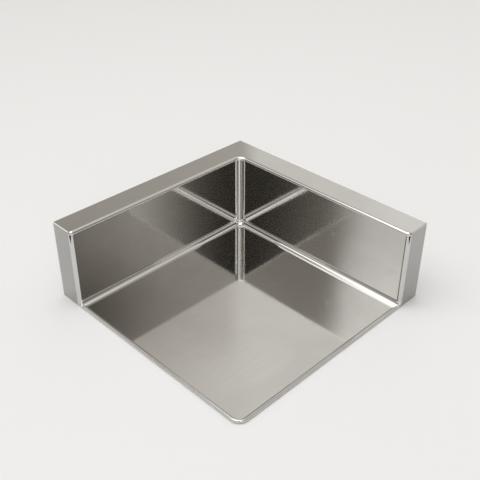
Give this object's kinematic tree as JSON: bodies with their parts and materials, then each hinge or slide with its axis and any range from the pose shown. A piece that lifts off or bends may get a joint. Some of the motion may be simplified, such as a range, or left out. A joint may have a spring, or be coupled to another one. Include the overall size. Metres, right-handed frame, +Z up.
{
  "type": "corner kitchen sink",
  "caption": "Shallow square corner sink in satin stainless sheet: coved basin open at the front with a low rolled rim, and hollow upstands with flat ledges along the back edges.",
  "frame": {"origin": "centre of the square footprint, on the worktop plane", "axes": "+Z up; the room corner is towards -X and +Y, the left upstand runs along -X, the right upstand along +Y, and the open front corner is towards +X and -Y"},
  "size_m": [0.4, 0.4, 0.138],
  "materials": {
    "satin_stainless": "satin",
    "mill_sheet": "mill",
    "rivet_metal": "plain",
    "plated_steel": "zinc plated",
    "sound_pad": "matte",
    "seal_rubber": "matte"
  },
  "bodies": {
    "root": {"back_corner_angle": "mill_sheet", "basin_pan": "satin_stainless", "corner_brace": "mill_sheet", "floor_pad": "sound_pad", "left_back_panel": "mill_sheet", "left_back_rivets": "rivet_metal", "left_base_rail": "mill_sheet", "left_end_cap": "satin_stainless", "left_hold_down_nuts": "plated_steel", "left_ledge": "satin_stainless", "left_rib_1": "mill_sheet", "left_rib_2": "mill_sheet", "left_rib_3": "mill_sheet", "left_wall_pad_1": "sound_pad", "left_wall_pad_2": "sound_pad", "mitre_backing": "mill_sheet", "right_back_panel": "mill_sheet", "right_back_rivets": "rivet_metal", "right_base_rail": "mill_sheet", "right_end_cap": "satin_stainless", "right_hold_down_nuts": "plated_steel", "right_ledge": "satin_stainless", "right_rib_1": "mill_sheet", "right_rib_2": "mill_sheet", "right_rib_3": "mill_sheet", "right_wall_pad_1": "sound_pad", "right_wall_pad_2": "sound_pad", "rim_seal": "seal_rubber"}
  },
  "joints": []
}
